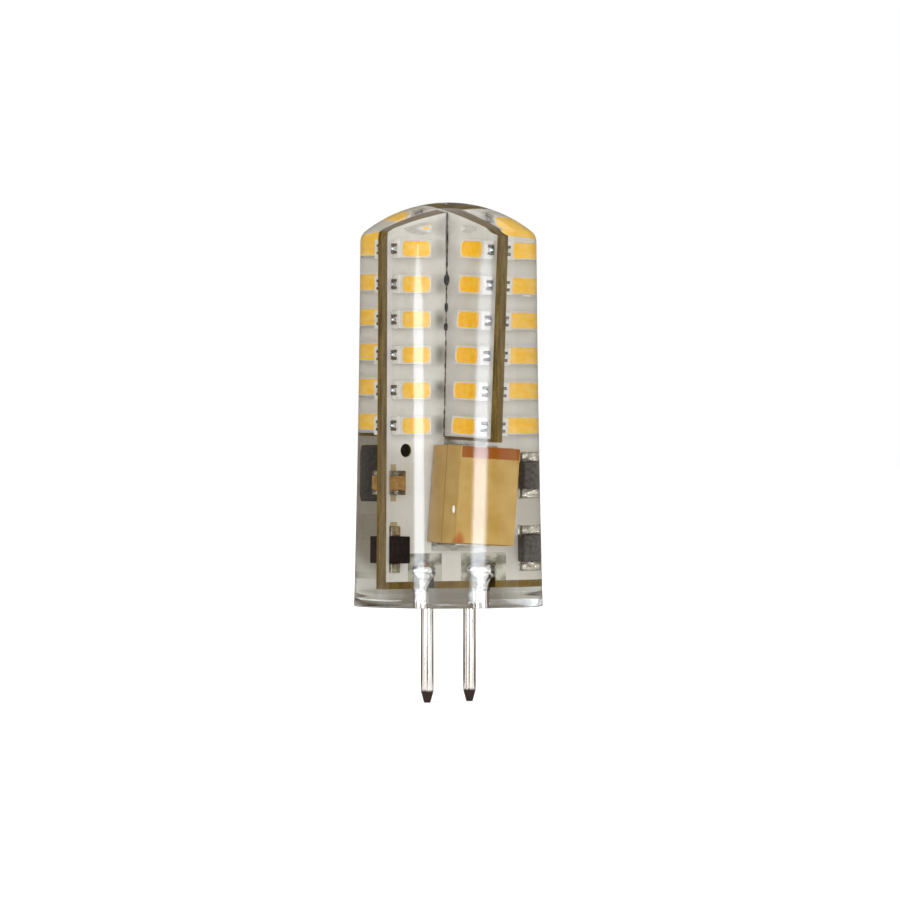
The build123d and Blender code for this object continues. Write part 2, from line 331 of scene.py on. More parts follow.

# Light-emitting diodes: moulded white packages in columns of six, soldered at both ends. Each has a
# round-cornered window filled with yellow phosphor gel, and two notched contacts at each end, painted dark
# as the shade in their notches. The gel is a little deeper in colour on the cross board's front half.
LED_LENGTH = 3.0
LED_HEIGHT = 0.8
LED_CORNER = 0.08
LED_TOP_EDGE = 0.05
WINDOW_LENGTH = 2.56
WINDOW_WIDTH = 1.18
WINDOW_CORNER = 0.38
WINDOW_SHIFT = 0.1
WINDOW_DEPTH = 0.14
WINDOW_DRAFT = 0.05
GEL_LEVEL = 0.04
GEL_DISH = 0.03
GEL_DISH_INSET = 0.18
GEL_DISH_CORNER = 0.26
DEEP_GEL_Y = (-2.4, -1.6)
CONTACT_SPREAD = 0.27
CONTACT_RADIUS = 0.11
CONTACT_HEIGHT = 0.5
CONTACT_STEPS = 12
LED_SOLDER_REACH = 0.18
LED_SOLDER_HEIGHT = 0.42
LED_SOLDER_WIDTH = 0.34
LED_SOLDER_BITE = 0.05
LED_SOLDER_TOE = 0.03
CROSS_CANT = radians(1.1)
CROSS_TURN = Matrix.Rotation(CROSS_CANT, 3, "Y") @ Matrix.Rotation(CROSS_TILT, 3, "X")
CROSS_ALONG = CROSS_TURN @ Vector((0, -1, 0))
CROSS_OUT = CROSS_TURN @ Vector((-1, 0, 0))
FACES = {
    "main_front": (Vector((1, 0, 0)), Vector((0, -1, 0))),
    "main_back": (Vector((-1, 0, 0)), Vector((0, 1, 0))),
    "cross_left": (CROSS_ALONG, CROSS_OUT),
    "cross_right": (-CROSS_ALONG, -CROSS_OUT),
}


def round_corners(length, width, corner, height, middle=0, steps=6):
    """A rectangle with round corners, at that height and that far along X, as a loop of points."""
    loop = []
    for side_x, side_y, start in ((1, 1, 0), (-1, 1, 1), (-1, -1, 2), (1, -1, 3)):
        for step in range(steps + 1):
            angle = (start + step / steps) * pi / 2
            x = middle + side_x * (length / 2 - corner) + corner * cos(angle)
            y = side_y * (width / 2 - corner) + corner * sin(angle)
            loop.append((x, y, height))
    return loop


def led_seats(column):
    """The middle of each package's foot in a column, as a matrix with its length along X and Z outwards."""
    along, out = FACES[column.rsplit("_", 1)[0]]
    turn = Matrix((along, out.cross(along), out)).transposed()
    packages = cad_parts["led_housings_" + column].data.vertices
    corners = [turn.transposed() @ vertex.co for vertex in packages]
    low = [min(axis) for axis in zip(*corners)]
    high = [max(axis) for axis in zip(*corners)]
    first = low[1] + LED_WIDTH * MM / 2
    last = high[1] - LED_WIDTH * MM / 2
    for row in range(LED_ROWS):
        foot = Vector(((low[0] + high[0]) / 2, first + (last - first) * row / (LED_ROWS - 1), low[2]))
        yield Matrix.Translation(turn @ foot) @ turn.to_4x4()


def window(inset, corner):
    """The length, width and corner of a package's window, drawn in by that much."""
    return WINDOW_LENGTH - 2 * inset, WINDOW_WIDTH - 2 * inset, corner


def housing(mesh, seat, shift):
    """A white package, open at its window."""
    inner = window(WINDOW_DRAFT, WINDOW_CORNER - WINDOW_DRAFT)
    outer_top = (LED_LENGTH - 2 * LED_TOP_EDGE, LED_WIDTH - 2 * LED_TOP_EDGE, LED_CORNER)
    skin(mesh, [
        round_corners(LED_LENGTH, LED_WIDTH, LED_CORNER, 0),
        round_corners(LED_LENGTH, LED_WIDTH, LED_CORNER, LED_HEIGHT - LED_TOP_EDGE),
        round_corners(*outer_top, LED_HEIGHT),
        round_corners(WINDOW_LENGTH, WINDOW_WIDTH, WINDOW_CORNER, LED_HEIGHT, shift),
        round_corners(*inner, LED_HEIGHT - WINDOW_DEPTH, shift),
    ], seat)


def gel(mesh, seat, shift):
    """The fill of a window, a little below its rim and slightly dished."""
    level = LED_HEIGHT - GEL_LEVEL
    pull = WINDOW_DRAFT * GEL_LEVEL / WINDOW_DEPTH
    foot = window(WINDOW_DRAFT, WINDOW_CORNER - WINDOW_DRAFT)
    rim = window(pull, WINDOW_CORNER - pull)
    dish = window(GEL_DISH_INSET, GEL_DISH_CORNER)
    skin(mesh, [
        round_corners(*foot, LED_HEIGHT - WINDOW_DEPTH, shift),
        round_corners(*rim, level, shift),
        round_corners(*dish, level - GEL_DISH, shift),
    ], seat)


def contact(mesh, seat, end, side):
    """A half-round notch contact in the package's end, painted dark as the shade inside the notch."""
    middle = Vector((end * LED_LENGTH / 2, side * CONTACT_SPREAD, 0))
    ring = [Vector((c, s, 0)) * CONTACT_RADIUS for c, s in circle(CONTACT_STEPS)]
    lift = Vector((0, 0, CONTACT_HEIGHT))
    skin(mesh, [[middle + p for p in ring], [middle + p + lift for p in ring]], seat)


def end_solder(mesh, seat, end):
    """A hollow fillet of solder that climbs from the pad to the package's end."""
    root = end * (LED_LENGTH / 2 - LED_SOLDER_BITE)
    loops = []
    for step in range(9):
        share = step / 4 - 1
        side = share * LED_SOLDER_WIDTH / 2
        swell = sqrt(max(1 - abs(share) ** 3, 0.02))
        loop = [(root, side, 0)]
        for turn in range(7):
            angle = turn / 6 * pi / 2
            out = end * (LED_LENGTH / 2 + LED_SOLDER_REACH * swell * (1 - sin(angle)))
            loop.append((out, side, LED_SOLDER_HEIGHT * swell * (1 - cos(angle)) + LED_SOLDER_TOE))
        loop.append((root, side, LED_SOLDER_HEIGHT * swell))
        loops.append(loop)
    skin(mesh, loops, seat)


def metal_finish(name, dull, bright, roughness, grain_per_mm, relief_mm):
    """Bare metal, mottled between two tones, with a fine uneven surface."""
    finish = Finish(name, {"Metallic": 1.0})
    place = finish.place()
    cloud = finish.noise(place, (grain_per_mm,) * 3, 3.0)
    tone = finish.ease(cloud, 0.3, 0.7)
    finish.vary({
        "Base Color": finish.mix(tone, dull, bright),
        "Roughness": roughness + (1 - tone) * roughness * 0.6,
    })
    finish.bump(cloud, relief_mm)
    return finish


housing_finish = Finish("white moulded package", {"IOR": POTTED_IOR, "Roughness": 0.5})
speckle = housing_finish.noise(housing_finish.place(), (3.0,) * 3, 3.0)
housing_finish.vary({
    "Base Color": housing_finish.mottled(speckle, paint(217, 212, 201), paint(226, 222, 212)),
})
housing_finish.bump(speckle, 0.006)

gel_finish = Finish("phosphor gel", {"IOR": POTTED_IOR, "Roughness": 0.55})
gel_place = gel_finish.place()
grains = gel_finish.noise(gel_place, (2.2,) * 3, 5.0)
deep_gel = gel_finish.mottled(grains, paint(255, 187, 34), paint(255, 202, 70))
pale_gel = gel_finish.mottled(grains, paint(255, 198, 72), paint(255, 211, 110))
set_back = gel_finish.ease(gel_place[1], *DEEP_GEL_Y)
gel_finish.vary({"Base Color": gel_finish.mix(set_back, deep_gel, pale_gel)})
gel_finish.bump(grains, 0.01)

# The contacts are painted dark as the shade in their notches
notch_shade_contact_finish = metal_finish("contacts with painted notch shade", paint(104, 92, 82), paint(148, 136, 122), 0.4, 6.0, 0.01)
solder_finish = metal_finish("bright solder", paint(150, 150, 146), paint(216, 216, 212), 0.14, 1.6, 0.03)

for face in FACES:
    for half in ("left", "right"):
        column = f"{face}_{half}"
        housings = bmesh.new()
        gels = bmesh.new()
        contacts = bmesh.new()
        solders = bmesh.new()
        # Each window lies a little off its package's middle
        toward_left = half == "right" if face.startswith("main") else face == "cross_left"
        shift = -WINDOW_SHIFT if toward_left else WINDOW_SHIFT
        for seat in led_seats(column):
            housing(housings, seat, shift)
            gel(gels, seat, shift)
            for end in (-1, 1):
                end_solder(solders, seat, end)
                for side in (-1, 1):
                    contact(contacts, seat, end, side)
        piece("led_packages_" + column, housings, housing_finish, "led_housing", "led_housings_" + column)
        piece("led_gels_" + column, gels, gel_finish, "led_phosphor", "led_phosphor_" + column)
        piece("led_contacts_" + column, contacts, notch_shade_contact_finish, "tinned_metal")
        piece("led_end_solder_" + column, solders, solder_finish, "solder")

# Corner joints: drops of solder that join the pads of the two boards where they cross, painted dark for
# the dark reflection they show, and a thin line of dried flux along each corner, which is dark. Both follow
# the cant of the cross board, which turns about the middle of the main board's slot.
SEAM_LEG = 0.05
SEAM_BITE = 0.02
SEAM_START = 0.4
SEAM_STEPS = 90
SLOT_FOOT = 20.05
# Each drop: its height, radius and half length
BEADS = ((24.25, 0.19, 0.42), (22.2, 0.11, 0.36), (20.75, 0.13, 0.3))
BEAD_PROUD = 0.03
BEAD_STEPS = 16
DROP_END = radians(84)

half_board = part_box("main_board")[1].y / MM
seam_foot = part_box("cross_board")[0].z / MM + SEAM_START
seam_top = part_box("main_board")[1].z / MM


def lean(height):
    """How far across the cross board's cant carries it at a height."""
    return (height - (SLOT_FOOT + seam_top) / 2) * tan(CROSS_CANT)


def drop(steps):
    """A round drop from end to end, as shares of its half length and of its half width."""
    angles = [DROP_END * (2 * step / steps - 1) for step in range(steps + 1)]
    return [(sin(angle), cos(angle)) for angle in angles]


flux_finish = Finish("dried flux", {"IOR": POTTED_IOR, "Roughness": 0.5})
flux_cloud = flux_finish.noise(flux_finish.place(), (1.5, 1.5, 2.5), 3.0)
flux_tone = flux_finish.mottled(flux_cloud, paint(48, 40, 34), paint(128, 116, 100), 0.35, 0.65)
flux_finish.vary({"Base Color": flux_tone})
# Painted reflection: the solder drops are given a near-black metal colour for the dark reflection they show
dark_reflection_bead_finish = metal_finish("solder painted with dark reflection", paint(34, 31, 28), paint(76, 72, 66), 0.3, 3.0, 0.03)

seams = bmesh.new()
beads = bmesh.new()
for side_x in (-1, 1):
    for side_y in (-1, 1):
        for height, radius, half_length in BEADS:
            x = side_x * (half_board + BEAD_PROUD) + lean(height)
            y = side_y * (half_board + BEAD_PROUD)
            loops = []
            for rise, width in drop(12):
                ring = [(x + radius * width * c, y + radius * width * s) for c, s in circle(BEAD_STEPS)]
                loops.append([(*point, height + half_length * rise) for point in ring])
            skin(beads, loops)
        loops = []
        for step in range(SEAM_STEPS + 1):
            height = seam_foot + (seam_top - seam_foot) * step / SEAM_STEPS
            wander = sin(2.3 * height + side_x) * sin(5.1 * height + 2 * side_y) + 0.5 * sin(11.0 * height)
            leg = SEAM_LEG * (1 + 0.6 * wander)
            x = side_x * half_board + lean(height)
            y = side_y * half_board
            loops.append([
                (x - side_x * SEAM_BITE, y - side_y * SEAM_BITE, height),
                (x + side_x * leg, y - side_y * SEAM_BITE, height),
                (x - side_x * SEAM_BITE, y + side_y * leg, height),
            ])
        skin(seams, loops)
piece("corner_flux_lines", seams, flux_finish, "solder")
piece("corner_beads", beads, dark_reflection_bead_finish, "solder", "board_solder")

# Smoothing capacitor: a moulded ochre block, drafted both ways from its mould line, that sits a little
# askew on two folded strip terminals. A brown bar along its top marks the positive end, and a small
# orange stain lies at its lower left corner.
CAPACITOR_LENGTH = 7.3
CAPACITOR_WIDTH = 4.5
SKEW = radians(4)
MOULD_LINE = -1.95
MOULD_LINE_WIDTH = 0.05
BAR_INSET = -0.06
BAR_HEIGHT = 0.95
BAR_START = 0.2
STAIN_ACROSS = -1.9
STAIN_ALONG = -3.55
WELD_GAP = 0.0005
FLAT_ANGLE = radians(1)
EDGE_ANGLE = radians(20)


def soft_piece(name, node, rounding, finish, slot):
    """A piece with a solid's own form, its edges rounded a little, that stands for the solid."""
    mesh = bmesh.new()
    mesh.from_mesh(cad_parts[node].data)
    bmesh.ops.remove_doubles(mesh, verts=mesh.verts, dist=WELD_GAP * MM)
    bmesh.ops.dissolve_limit(mesh, angle_limit=FLAT_ANGLE, verts=mesh.verts, edges=mesh.edges)
    edges = [edge for edge in mesh.edges if edge.calc_face_angle(0) > EDGE_ANGLE]
    bmesh.ops.bevel(
        mesh, geom=edges, offset=rounding * MM, offset_type="OFFSET", segments=3,
        profile=0.5, affect="EDGES", clamp_overlap=True,
    )
    piece(name, mesh, finish, slot, node)


low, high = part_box("capacitor_body")
capacitor_centre = (low + high) / 2 / MM
moulding_finish = Finish("ochre moulding", {"IOR": 1.12, "Roughness": 0.5})
moulding_place = moulding_finish.place()
from_centre_x = moulding_place[0] - capacitor_centre.x
from_centre_z = moulding_place[2] - capacitor_centre.z
from_front = moulding_place[1] - low.y / MM
across = from_centre_x * cos(SKEW) - from_centre_z * sin(SKEW)
along = from_centre_x * sin(SKEW) + from_centre_z * cos(SKEW)
cloud = moulding_finish.noise(moulding_place, (0.8,) * 3, 4.0)
ochre = moulding_finish.mottled(cloud, paint(179, 143, 72), paint(191, 156, 88))

on_front = moulding_finish.facing()[1] < -0.9
bar_top = CAPACITOR_LENGTH / 2 - BAR_INSET
ragged = moulding_finish.noise(moulding_place, (6.0,) * 3, 2.0) * 0.06
in_bar = (along + ragged < bar_top) * (along + ragged > bar_top - BAR_HEIGHT)
in_bar = in_bar * (across + ragged > BAR_START - CAPACITOR_WIDTH / 2) * on_front
barred = moulding_finish.mix(in_bar * (0.8 + cloud * 0.4), ochre, paint(152, 84, 22))

blot = moulding_finish.noise(moulding_place, (1.6, 1.6, 0.9), 2.0)
from_stain = 0.0
for distance, weight in ((across - STAIN_ACROSS, 2.2), (along - STAIN_ALONG, 0.9), (from_front, 2.0)):
    from_stain = from_stain + distance * distance * weight
stain = moulding_finish.ease(blot * 0.8 - from_stain, -0.25, 0.45)
stained = moulding_finish.mix(stain * 0.9, barred, paint(170, 84, 24))
at_line = abs(moulding_place[1] - MOULD_LINE) < MOULD_LINE_WIDTH / 2 + (cloud - 0.5) * 0.04
lined = moulding_finish.mix(at_line * (1 - on_front) * 0.7, stained, paint(84, 58, 26))
moulding_finish.vary({"Base Color": lined})
moulding_finish.bump(cloud, 0.01)
soft_piece("capacitor_moulding", "capacitor_body", 0.07, moulding_finish, "ochre_moulding")

strip_finish = metal_finish("tinned strip", paint(150, 144, 132), paint(196, 190, 176), 0.3, 2.5, 0.01)
for end in ("top", "bottom"):
    soft_piece("capacitor_strip_" + end, "capacitor_terminal_" + end, 0.03, strip_finish, "tinned_metal")

# Rectifier diodes: black moulded blocks with a flat tinned lead at each end, soldered to pale pads. The two
# at the right of the front are worn, and the solder on their leads is greyer.
PALE_LEAD = (paint(150, 138, 112), paint(204, 195, 172))
GREY_LEAD = (paint(108, 100, 88), paint(178, 170, 155))


def moulding_black(name, deep, pale):
    """Black moulding compound with a fine matt grain, between two tones."""
    finish = Finish(name, {"IOR": 1.15, "Roughness": 0.45})
    soot = finish.noise(finish.place(), (4.0,) * 3, 3.0)
    finish.vary({"Base Color": finish.mottled(soot, deep, pale)})
    finish.bump(soot, 0.012)
    return finish


black_finish = moulding_black("black moulding", paint(24, 17, 15), paint(38, 30, 27))
worn_finish = moulding_black("worn black moulding", paint(70, 66, 64), paint(94, 89, 86))
pale_lead_finish = metal_finish("pale soldered leads", *PALE_LEAD, 0.28, 3.5, 0.05)
grey_lead_finish = metal_finish("grey soldered leads", *GREY_LEAD, 0.24, 3.0, 0.07)
for name, block_finish, lead_finish in (
    ("diode_front_left", black_finish, pale_lead_finish),
    ("diode_back", black_finish, pale_lead_finish),
    ("diode_front_right_lower", worn_finish, grey_lead_finish),
    ("diode_front_right_upper", worn_finish, grey_lead_finish),
):
    soft_piece(name + "_block", name + "_body", 0.08, block_finish, "black_moulding")
    soft_piece(name + "_strips", name + "_leads", 0.05, lead_finish, "tinned_metal")

# Ceramic chip capacitors: brown fired blocks with dull tinned caps at both ends, by which they are soldered
# to the main board, one on its front and one behind.
ceramic_finish = Finish("brown ceramic", {"IOR": 1.12, "Roughness": 0.5})
firing = ceramic_finish.noise(ceramic_finish.place(), (3.0,) * 3, 3.0)
ceramic_tone = ceramic_finish.mottled(firing, paint(138, 104, 60), paint(168, 129, 76))
ceramic_finish.vary({"Base Color": ceramic_tone})
cap_finish = metal_finish("dull tinned caps", paint(122, 112, 94), paint(184, 176, 158), 0.2, 4.0, 0.03)
for name in ("chip_front", "chip_back"):
    soft_piece(name + "_block", name + "_body", 0.03, ceramic_finish, "brown_ceramic")
    soft_piece(name + "_caps", name + "_ends", 0.06, cap_finish, "tinned_metal")

# Driver parts on the back: a moulded power inductor on wrapped terminals, a six-lead driver chip and two
# chip resistors. All of them are soldered flat to the main board.
inductor_finish = moulding_black("inductor moulding", paint(42, 38, 38), paint(58, 53, 53))
soft_piece("inductor_block", "inductor_body", 0.12, inductor_finish, "black_moulding")
soft_piece("inductor_straps", "inductor_terminals", 0.03, strip_finish, "tinned_metal")
soft_piece("driver_block", "driver_body", 0.06, black_finish, "black_moulding")
soft_piece("driver_legs", "driver_leads", 0.03, strip_finish, "tinned_metal")
soft_piece("resistor_blocks", "resistor_bodies", 0.03, black_finish, "black_moulding")
soft_piece("resistor_caps", "resistor_ends", 0.04, cap_finish, "tinned_metal")

# Plug pins: drawn wire, nickel plated, with blunt tips that are left dark from the furnace. A ball of
# solder at the top of each fills its slot in the board and flows down the pin.
PIN_RADIUS = 0.475
PIN_ROOT_RADIUS = 0.45
PIN_SHOULDER = 0.52
PIN_STEPS = 64
PIN_TIP_LENGTH = 0.87
# The tip's points: radius, and height above the pin's foot
PIN_TIP = ((0.17, 0.0), (0.226, 0.024), (0.26, 0.08), (0.455, 0.79), (0.47, 0.87), (0.475, 0.95))
# The solder's points below the ball: radius and height
NECK = ((0.465, 1.1), (0.485, 1.35), (0.52, 1.58), (0.58, 1.8))
BALL_CENTRE = 2.68
BALL_RADIUS = 1.0
BALL_HEIGHT = 0.9
BALL_START = radians(-48)
BALL_END = radians(86)
BALL_PROUD = 1.25
BALL_DRIFT = -0.3
DRIFT_FOOT = 1.3
BALL_STEPS = 96


def turned(mesh, profile, axis_x, steps):
    """A closed turned form from (radius, height) points, bottom to top, about an upright axis."""
    skin(mesh, [[(axis_x + r * c, r * s, z) for c, s in circle(steps)] for r, z in profile])


def arc(middle, across, up, start, end, steps):
    """Points of a round or oval arc, as (radius, height), from one angle to another."""
    angles = [start + (end - start) * step / steps for step in range(steps + 1)]
    return [(middle[0] + across * cos(angle), middle[1] + up * sin(angle)) for angle in angles]


def share_of_way(value, start, end):
    """How far a value has come from start to end, from 0 to 1."""
    return min(max((value - start) / (end - start), 0), 1)


plating_finish = Finish("plated pin", {"Metallic": 1.0})
pin_place = plating_finish.place()
drawn = plating_finish.noise(pin_place, (7.0, 7.0, 0.35), 3.0)
tip_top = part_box("pin_left")[0].z / MM + PIN_TIP_LENGTH
bright = plating_finish.ease(pin_place[2] + drawn * 0.25, tip_top + 0.05, tip_top + 0.3)
plated = plating_finish.mottled(drawn, paint(200, 192, 184), paint(224, 218, 212))
plating_finish.vary({
    "Base Color": plating_finish.mix(bright, paint(62, 50, 46), plated),
    "Roughness": 0.5 - bright * 0.36 + drawn * 0.06,
})
plating_finish.bump(drawn, 0.0015)

ball_finish = metal_finish("ball of solder", paint(186, 186, 183), paint(216, 216, 213), 0.1, 1.2, 0.008)
ball_arc = arc((0, BALL_CENTRE), BALL_RADIUS, BALL_HEIGHT, BALL_START, BALL_END, 24)
for side in ("left", "right"):
    low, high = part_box("pin_" + side)
    axis_x = (low.x + high.x) / 2 / MM
    tip = [(radius, low.z / MM + height) for radius, height in PIN_TIP]
    root = [(PIN_RADIUS, 0), (PIN_ROOT_RADIUS, PIN_SHOULDER), (PIN_ROOT_RADIUS, high.z / MM)]
    pin = bmesh.new()
    turned(pin, tip + root, axis_x, PIN_STEPS)
    piece("plug_pin_" + side, pin, plating_finish, "plated_pin", "pin_" + side)

    ball = bmesh.new()
    turned(ball, list(NECK) + ball_arc, axis_x, BALL_STEPS)
    for vertex in ball.verts:
        height = vertex.co.z / MM
        vertex.co.y *= 1 + (BALL_PROUD - 1) * share_of_way(height, NECK[0][1], NECK[-1][1])
        vertex.co.x += BALL_DRIFT * MM * share_of_way(height, DRIFT_FOOT, BALL_CENTRE)
    piece("pin_solder_ball_" + side, ball, ball_finish, "solder", "pin_solder_" + side)

# Silicone body: one clear casting, poured round everything above in a polished mould. Its wall is drafted
# and slightly hollow, its crown is domed and its lower edge is a little rounded. It set with a faint ripple
# at its foot, and two small bubbles stayed under its wall, drawn as flat white specks whose white is a
# painted highlight.
SILICONE_IOR = 1.41
SHOULDER_RADIUS = 6.57
CROWN_RADIUS = 10.0
SHOULDER_ROUNDING = 1.0
WALL_HOLLOW = 0.075
WALL_STEPS = 60
BASE_EDGE = 0.1
BODY_STEPS = 256
CROWN_MIDDLE = 0.02
FOOT_RIPPLE = 0.05
FOOT_RIPPLE_TOP = 1.4
FOOT_RIPPLE_FADE = 0.9
WHITE = (1.0, 1.0, 1.0, 1.0)
# Each bubble: its angle round the bulb, its height, and half its size across and up
BUBBLES = ((-34.8, 7.3, 0.09, 0.3), (25.0, 23.05, 0.75, 0.06))
BUBBLE_DEPTH = 0.12
BUBBLE_HALF_THICKNESS = 0.05

base_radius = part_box("silicone_body")[1].x / MM
body_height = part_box("silicone_body")[1].z / MM
crown_centre = body_height - CROWN_RADIUS
shoulder_corner = crown_centre + sqrt(CROWN_RADIUS**2 - SHOULDER_RADIUS**2)


def wall_radius(height):
    """The wall's radius at a height: a straight draft, pulled in a little between its ends."""
    share = height / shoulder_corner
    return base_radius + (SHOULDER_RADIUS - base_radius) * share - 4 * WALL_HOLLOW * share * (1 - share)


# The angle at which the rounded shoulder touches both the wall and the crown
rounding_reach = CROWN_RADIUS - SHOULDER_ROUNDING
rounding_angle = pi / 4
for _ in range(40):
    centre = (rounding_reach * cos(rounding_angle), crown_centre + rounding_reach * sin(rounding_angle))
    rounding_angle += (centre[0] + SHOULDER_ROUNDING - wall_radius(centre[1])) / rounding_reach

wall_heights = [BASE_EDGE + (centre[1] - BASE_EDGE) * step / WALL_STEPS for step in range(1, WALL_STEPS)]
silicone_profile = arc((base_radius - BASE_EDGE, BASE_EDGE), BASE_EDGE, BASE_EDGE, -pi / 2, 0, 6)
silicone_profile += [(wall_radius(height), height) for height in wall_heights]
silicone_profile += arc(centre, SHOULDER_ROUNDING, SHOULDER_ROUNDING, 0, rounding_angle, 16)
silicone_profile += arc((0, crown_centre), CROWN_RADIUS, CROWN_RADIUS, rounding_angle, pi / 2, 40)[1:-1]
silicone_profile.append((CROWN_MIDDLE, body_height))

silicone_finish = Finish("clear silicone", {
    "Base Color": WHITE,
    "Transmission Weight": 1.0,
    "IOR": SILICONE_IOR,
})
silicone_place = silicone_finish.place()
bloom = silicone_finish.noise(silicone_place, (0.25,) * 3, 2.0)
silicone_finish.vary({"Roughness": 0.03 + bloom * 0.03})
ripple = silicone_finish.noise(silicone_place, (0.16, 0.16, 0.5), 0.0)
ripple_foot = FOOT_RIPPLE_TOP - FOOT_RIPPLE_FADE
rippled = 1 - silicone_finish.ease(silicone_place[2], ripple_foot, FOOT_RIPPLE_TOP)
silicone_finish.bump((ripple - 0.5) * rippled, FOOT_RIPPLE)
casting = bmesh.new()
turned(casting, silicone_profile, 0, BODY_STEPS)
silicone = piece("silicone_casting", casting, silicone_finish, "clear_silicone", "silicone_body")
silicone.visible_shadow = False

# Painted highlight: the bubbles are flat white specks, and their white stands for the glint a bubble shows
bubble_glint_finish = Finish("trapped air painted as a glint", {"Roughness": 0.3})
glint_mottle = bubble_glint_finish.noise(bubble_glint_finish.place(), (4.0,) * 3, 2.0)
bubble_glint_finish.vary({"Base Color": bubble_glint_finish.mix(glint_mottle, paint(240, 240, 236), paint(255, 255, 252))})
bubbles = bmesh.new()
for angle, height, half_across, half_up in BUBBLES:
    reach = wall_radius(height) - BUBBLE_DEPTH
    turn = Matrix.Rotation(radians(angle), 4, "Z")
    loops = []
    for rise, width in drop(8):
        ring = [(half_across * width * c, BUBBLE_HALF_THICKNESS * width * s - reach) for c, s in circle(12)]
        loops.append([turn @ Vector((*point, height + half_up * rise)) for point in ring])
    skin(bubbles, loops)
piece("bubble_specks_painted_glint", bubbles, bubble_glint_finish, "clear_silicone")

# Camera: a long lens at the height of the bulb's middle, which looks level at the corner between the
# boards. Lamps and cards are placed by their angles from it.
CAMERA_AZIMUTH = radians(-38)
CAMERA_DISTANCE = 0.38
SENSOR_WIDTH = 36.0
PIXELS_PER_MM = 13.4
IMAGE_PIXELS = 900
FRAME_SHIFT = 1.6
AIM = Vector((0, 0, 11.64 * MM))


def bearing(angle):
    """A level direction, as an angle from the camera's side of the bulb, positive to its right."""
    return Vector((sin(CAMERA_AZIMUTH + angle), -cos(CAMERA_AZIMUTH + angle), 0))


scene = bpy.context.scene
scene.view_settings.view_transform = "Standard"
scene.cycles.caustics_reflective = False
scene.cycles.caustics_refractive = True
camera_data = bpy.data.cameras.new("camera")
camera_data.sensor_width = SENSOR_WIDTH
camera_data.lens = SENSOR_WIDTH * CAMERA_DISTANCE / MM * PIXELS_PER_MM / IMAGE_PIXELS
camera_data.clip_start = 0.01
camera_data.shift_x = FRAME_SHIFT / IMAGE_PIXELS
camera = bpy.data.objects.new("camera", camera_data)
scene.collection.objects.link(camera)
camera.location = bearing(0) * CAMERA_DISTANCE + AIM
camera.rotation_euler = bearing(0).to_track_quat("Z", "Y").to_euler()
scene.camera = camera

# Surround and soft lamps: a pale surround, a soft lamp by the camera, and fills at both sides and behind.
# The lamps light the bulb but show in nothing.
SURROUND_LEVEL = 0.95
LAMP_DISTANCE = 0.5
LAMP_RISE = radians(10)
# Each lamp: its angle, its radiance, and the half angles that it covers across and up
SOFT_LAMPS = {
    "front_softbox": (-12, 1.6, 35, 20),
    "left_fill": (-90, 2.1, 30, 25),
    "right_fill": (100, 1.8, 30, 25),
    "back_fill": (180, 0.8, 30, 25),
}


def in_sight(nodes):
    """1 for what is seen straight, in gloss or through the silicone, and 0 for what only lights."""
    seen = 0.0
    for ray in ("Is Camera Ray", "Is Glossy Ray", "Is Transmission Ray"):
        seen = nodes.node("ShaderNodeLightPath", None, None, ray) | seen
    return seen


world = bpy.data.worlds.new("studio surround")
scene.world = world
world.use_nodes = True
surround = Nodes(world.node_tree)
background = world.node_tree.nodes["Background"]
surround.feed(background.inputs["Color"], WHITE)
surround.feed(background.inputs["Strength"], in_sight(surround) * (1 - SURROUND_LEVEL) + SURROUND_LEVEL)

for name, (angle, radiance, half_across, half_up) in SOFT_LAMPS.items():
    lamp = bpy.data.lights.new(name, "AREA")
    lamp.shape = "RECTANGLE"
    lamp.size = 2 * LAMP_DISTANCE * tan(radians(half_across))
    lamp.size_y = 2 * LAMP_DISTANCE * tan(radians(half_up))
    lamp.energy = radiance * pi * lamp.size * lamp.size_y
    box = bpy.data.objects.new(name, lamp)
    scene.collection.objects.link(box)
    toward = bearing(radians(angle)) * cos(LAMP_RISE) + Vector((0, 0, sin(LAMP_RISE)))
    box.location = toward * LAMP_DISTANCE + AIM
    box.rotation_euler = toward.to_track_quat("Z", "Y").to_euler()
    box.visible_camera = False
    box.visible_glossy = False
    box.visible_transmission = False

# Strip lamps: two upright strips of cool light, left and right of the camera, that draw the long shines on
# the silicone. Each is a card with a bright slanted core that ends in a point, a faint skirt beside it and
# rims as pale as the surround. It shows in gloss, but sheds no light on matt surfaces.
STRIP_SIZE = (0.52, 0.09, 1.0)
STRIP_RISE = Vector((0, 0, 0.02))
STRIP_RIM = (130, 260)
STRIP_FADE = (-8, 14)
COOL_LIGHT = (0.84, 0.91, 1.0, 1.0)
BLACK = (0.0, 0.0, 0.0, 1.0)
# Reaches are in millimetres on the card: where each begins to change, and where it has changed
STRIPS = {
    "left_strip": {
        "angle": -38,
        "radiance": 17.0,
        "core": (36, 74),
        "tip": (14, 25),
        "slant": -1.0,
        "slant_middle": 3.5,
        "fade": 0.0,
        "skirt": (40, 190),
        "skirt_middle": -70,
        "skirt_share": 0.178,
        "rims": (-1,),
    },
    "right_strip": {
        "angle": 46,
        "radiance": 20.0,
        "core": (45, 110),
        "tip": (18, 24),
        "slant": 3.4,
        "slant_middle": 9.5,
        "fade": 0.5,
        "skirt": (60, 150),
        "skirt_middle": 0,
        "skirt_share": 0.056,
        "rims": (-1, 1),
    },
}


def stage_card(name, mesh, finish):
    """A card beside the bulb, out of the camera's sight, that casts no shadow."""
    data = bpy.data.meshes.new(name)
    mesh.to_mesh(data)
    mesh.free()
    data.materials.append(finish.material)
    card = bpy.data.objects.new(name, data)
    scene.collection.objects.link(card)
    card.visible_camera = False
    card.visible_shadow = False
    return card


